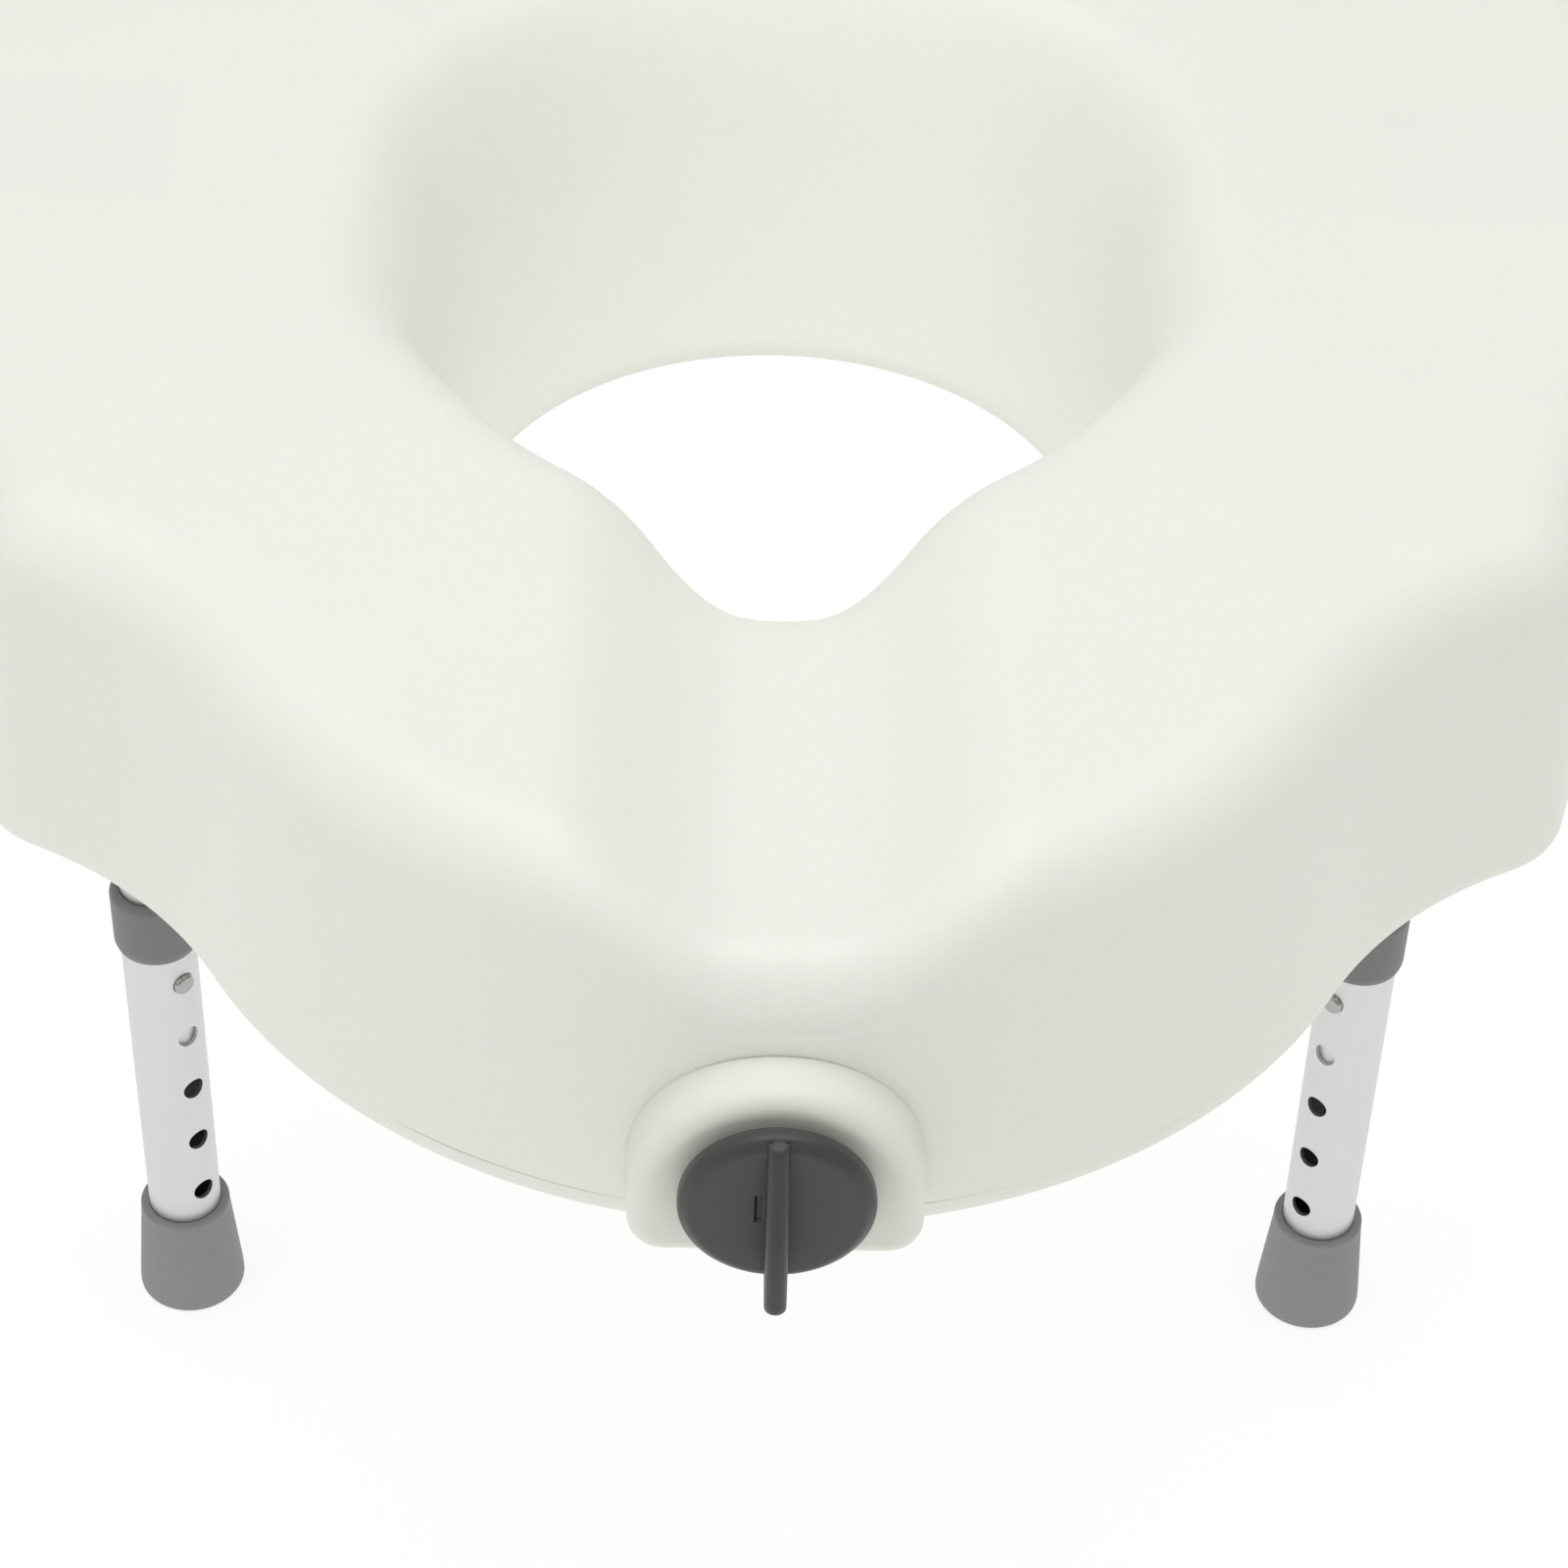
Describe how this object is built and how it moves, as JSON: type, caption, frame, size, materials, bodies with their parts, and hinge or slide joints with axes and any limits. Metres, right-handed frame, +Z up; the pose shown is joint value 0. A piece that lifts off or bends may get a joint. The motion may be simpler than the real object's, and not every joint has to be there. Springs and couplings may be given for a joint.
{
  "type": "raised toilet seat",
  "caption": "Moulded raised toilet seat with a keyhole opening, a front bowl clamp turned by a wing knob, and aluminium side legs adjustable by snap buttons.",
  "frame": {"origin": "middle of the opening on the plane of the bowl's rim, where the rubber pads rest", "axes": "+Z up, -Y to the front (the knob side), +X to the right seen from the front; the seat is mirror-symmetric in X"},
  "size_m": [0.5272, 0.5359, 0.487],
  "materials": {
    "shell": "milky off-white moulded polyethylene, semi-matt, slightly translucent",
    "pad": "milky ivory moulded plastic, semi-matt",
    "knob": "dark grey moulded plastic, fine texture",
    "washer_plastic": "natural nylon",
    "jaw_plastic": "white glass-filled nylon",
    "collar_plastic": "mid-grey moulded plastic",
    "aluminium": "satin anodised tube",
    "steel": "zinc-plated steel",
    "foot_rubber": "mid-grey moulded rubber",
    "rubber_grey": "dark rubber"
  },
  "bodies": {
    "seat": {"seat_shell": "shell", "rim_pads": "rubber_grey", "lock_pad": "pad", "pad_screws": "steel", "leg_socket_left": "jaw_plastic", "socket_screws_left": "steel", "upper_tube_left": "aluminium", "tube_bolt_left": "steel", "button_spring_left": "steel", "leg_socket_right": "jaw_plastic", "socket_screws_right": "steel", "upper_tube_right": "aluminium", "tube_bolt_right": "steel", "button_spring_right": "steel"},
    "knob": {"lock_knob": "knob", "lock_screw": "steel", "screw_ring": "steel", "knob_washer": "washer_plastic"},
    "jaw": {"clamp_jaw": "jaw_plastic", "jaw_nut": "steel", "jaw_pad": "rubber_grey"},
    "leg_left": {"leg_tube_left": "aluminium", "leg_collar_left": "collar_plastic", "foot_left": "foot_rubber", "foot_washer_left": "steel"},
    "button_left": {"snap_button_left": "steel"},
    "leg_right": {"leg_tube_right": "aluminium", "leg_collar_right": "collar_plastic", "foot_right": "foot_rubber", "foot_washer_right": "steel"},
    "button_right": {"snap_button_right": "steel"}
  },
  "joints": [
    {"name": "knob_turn", "type": "hinge", "parent": "seat", "child": "knob", "pos_m": [0, -0.28, 0.016], "axis": [0, 1, 0], "range_deg": [0, 1080]},
    {"name": "jaw_slide", "type": "slide", "parent": "seat", "child": "jaw", "axis": [0, -1, 0], "range_m": [0, 0.024]},
    {"name": "leg_slide_left", "type": "slide", "parent": "seat", "child": "leg_left", "axis": [0, 0, 1], "range_m": [0, 0.1016], "deforming": ["snap_button_left"]},
    {"name": "button_press_left", "type": "slide", "parent": "seat", "child": "button_left", "axis": [-0.6947, 0.7193, 0], "range_m": [0, 0.0038], "stiffness_N_per_m": 600, "springref_m": -0.003, "deforming": ["button_spring_left"]},
    {"name": "leg_slide_right", "type": "slide", "parent": "seat", "child": "leg_right", "axis": [0, 0, 1], "range_m": [0, 0.1016], "deforming": ["snap_button_right"]},
    {"name": "button_press_right", "type": "slide", "parent": "seat", "child": "button_right", "axis": [0.6947, 0.7193, 0], "range_m": [0, 0.0038], "stiffness_N_per_m": 600, "springref_m": -0.003, "deforming": ["button_spring_right"]}
  ],
  "couplings": [
    {"joint": "jaw_slide", "follows": "knob_turn", "m_per_rad": 0.001273}
  ]
}
